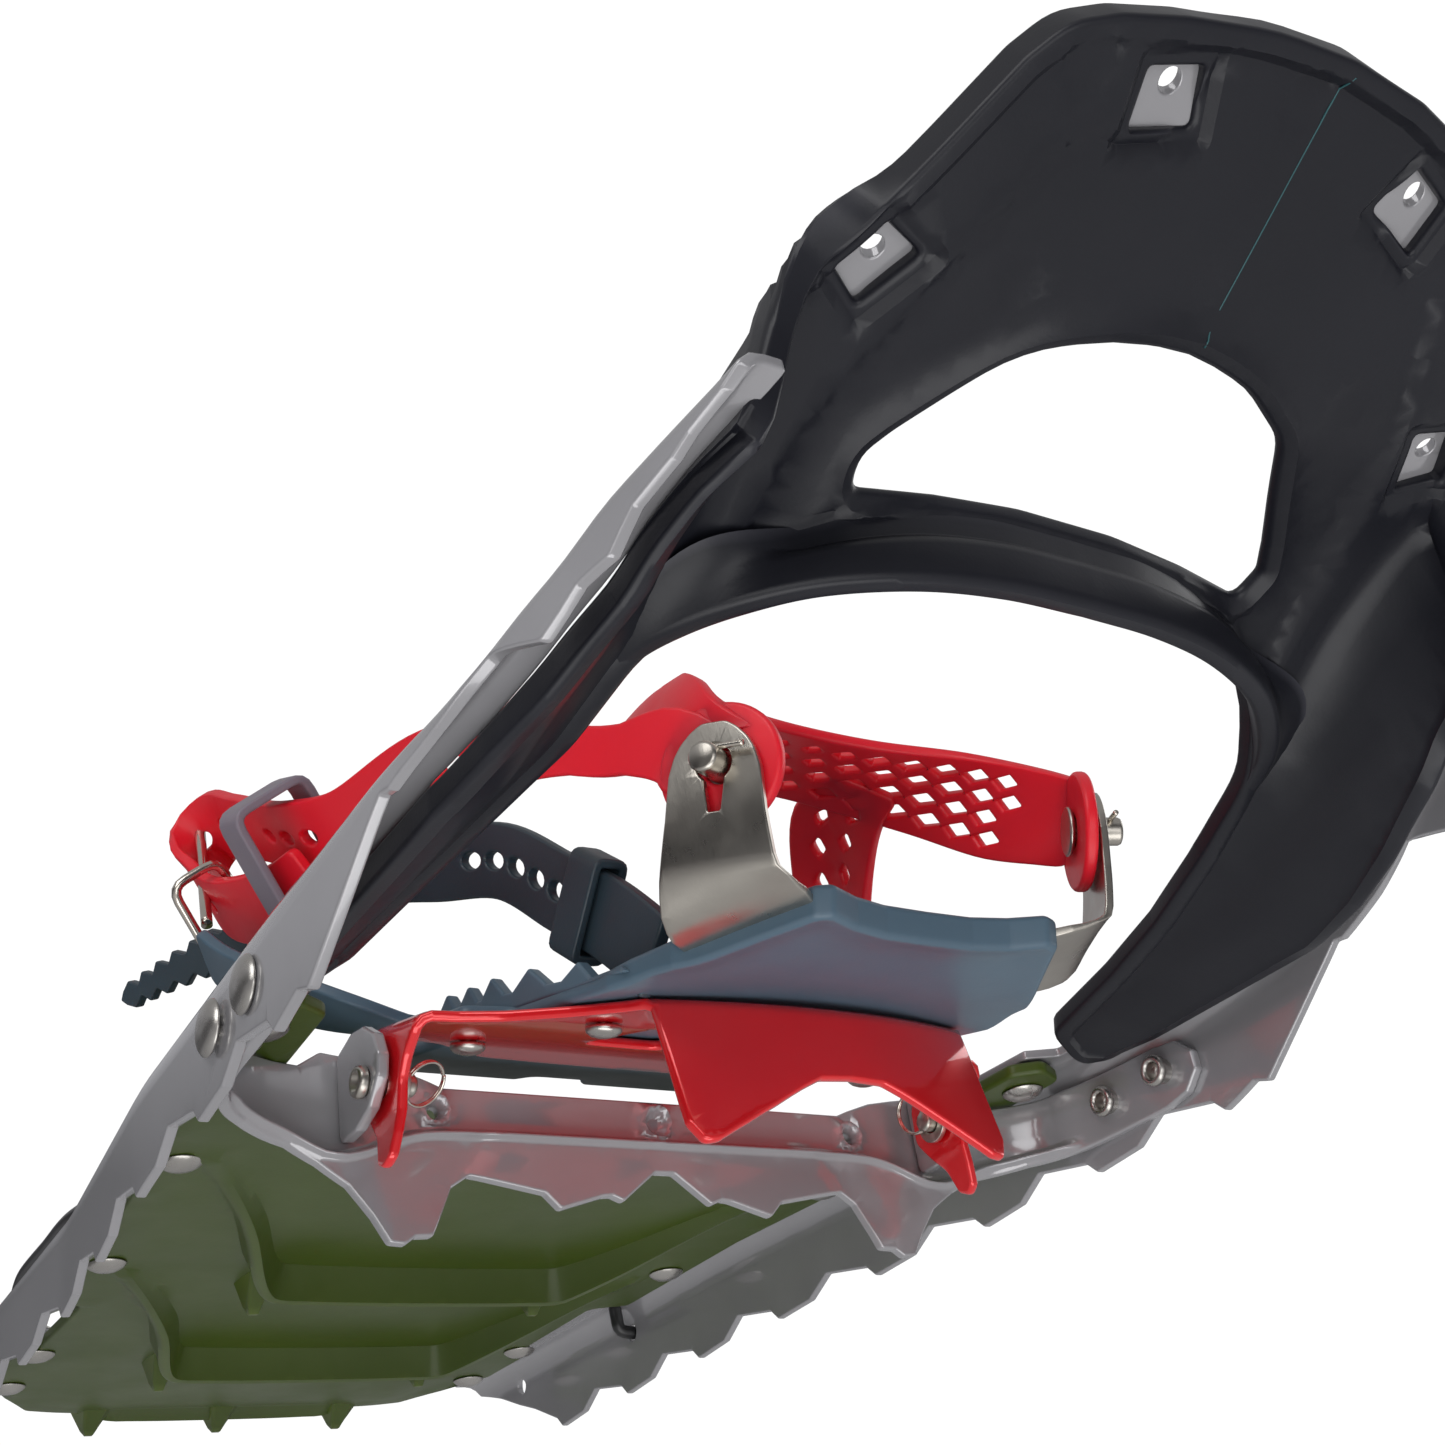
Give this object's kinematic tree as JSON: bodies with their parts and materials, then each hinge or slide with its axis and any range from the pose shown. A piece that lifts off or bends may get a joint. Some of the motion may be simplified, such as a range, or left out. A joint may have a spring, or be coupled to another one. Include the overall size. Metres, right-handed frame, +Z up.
{
  "type": "snowshoe",
  "caption": "Snowshoe with plastic nose and tail decks, toothed side rails and crossbar, a pivoting strap binding with toe crampon, and a swing-up wire heel lift.",
  "frame": {"origin": "centre of the footprint at the level of the lowest tooth tips", "axes": "+Y from tail to nose, +Z up, +X towards the wearer's right"},
  "size_m": [0.2058, 0.4856, 0.1092],
  "materials": {
    "charcoal_plastic": "satin moulded",
    "olive_plastic": "satin moulded",
    "grey_paint": "gloss light grey coating",
    "red_paint": "gloss",
    "red_elastomer": "satin, slightly translucent",
    "blue_grey_plastic": "satin, slightly translucent",
    "dark_elastomer": "satin",
    "keeper_grey": "satin",
    "steel": "bead-blasted stainless",
    "black_wire": "black coated"
  },
  "bodies": {
    "deck": {"nose_frame_tab_1_right": "grey_paint", "nose_frame_tab_1_left": "grey_paint", "nose_frame_tab_2_right": "grey_paint", "nose_frame_tab_2_left": "grey_paint", "rail_right": "grey_paint", "rail_left": "grey_paint", "nose_deck": "charcoal_plastic", "crossbar": "grey_paint", "crossbar_rivet_1_right": "steel", "crossbar_rivet_1_left": "steel", "crossbar_rivet_2_right": "steel", "crossbar_rivet_2_left": "steel", "tail_deck": "olive_plastic", "tail_rivet_1_right": "steel", "tail_rivet_1_left": "steel", "tail_rivet_2_right": "steel", "tail_rivet_2_left": "steel", "tail_rivet_3_right": "steel", "tail_rivet_3_left": "steel", "tail_rivet_4_right": "steel", "tail_rivet_4_left": "steel", "tail_rivet_5_right": "steel", "tail_rivet_5_left": "steel"},
    "binding": {"crampon": "red_paint", "crampon_rivet_1_right": "steel", "crampon_rivet_1_left": "steel", "crampon_rivet_2_right": "steel", "crampon_rivet_2_left": "steel", "side_bracket_right": "steel", "side_bracket_left": "steel", "toe_base": "blue_grey_plastic", "cradle_pin_right": "steel", "cradle_pin_left": "steel", "cradle_pin_clip_right": "steel", "cradle_pin_clip_left": "steel", "pivot_pin_right": "steel", "pivot_pin_left": "steel", "pivot_washer_right": "steel", "pivot_washer_left": "steel", "cradle": "red_elastomer", "buckle_prong": "steel", "link_strap": "blue_grey_plastic", "heel_strap": "dark_elastomer"},
    "heel_lift": {"heel_lift": "black_wire"},
    "strap_keeper": {"strap_keeper": "keeper_grey"},
    "heel_strap_keeper": {"heel_strap_keeper": "dark_elastomer"},
    "strap_buckle": {"strap_buckle": "steel"},
    "pivot_ring_right": {"pivot_ring_right": "steel"},
    "pivot_ring_left": {"pivot_ring_left": "steel"}
  },
  "joints": [
    {"name": "binding_pivot", "type": "hinge", "parent": "deck", "child": "binding", "pos_m": [0, 0.03675, 0.02701], "axis": [1, 0, 0], "range_deg": [-35, 14]},
    {"name": "heel_lift_hinge", "type": "hinge", "parent": "deck", "child": "heel_lift", "pos_m": [0, -0.14025, 0.03071], "axis": [1, 0, 0], "range_deg": [0, 95]},
    {"name": "strap_keeper_slide", "type": "slide", "parent": "binding", "child": "strap_keeper", "axis": [0.0841, -0.9191, 0.3851], "range_m": [-0.001, 0.002]},
    {"name": "heel_strap_keeper_slide", "type": "slide", "parent": "binding", "child": "heel_strap_keeper", "axis": [0.1003, -0.7425, 0.6623], "range_m": [-0.001, 0.004]},
    {"name": "strap_buckle_hinge", "type": "hinge", "parent": "binding", "child": "strap_buckle", "pos_m": [0.08311, -0.00558, 0.07346], "axis": [0.621, 0.3505, 0.7011], "range_deg": [-8, 8]},
    {"name": "pivot_ring_right_swing", "type": "hinge", "parent": "binding", "child": "pivot_ring_right", "pos_m": [0.0595, 0.03675, 0.02701], "axis": [0, 0.7071, 0.7071], "range_deg": [-15, 15]},
    {"name": "pivot_ring_left_swing", "type": "hinge", "parent": "binding", "child": "pivot_ring_left", "pos_m": [-0.0595, 0.03675, 0.02701], "axis": [0, 0.7071, 0.7071], "range_deg": [-15, 15]}
  ]
}
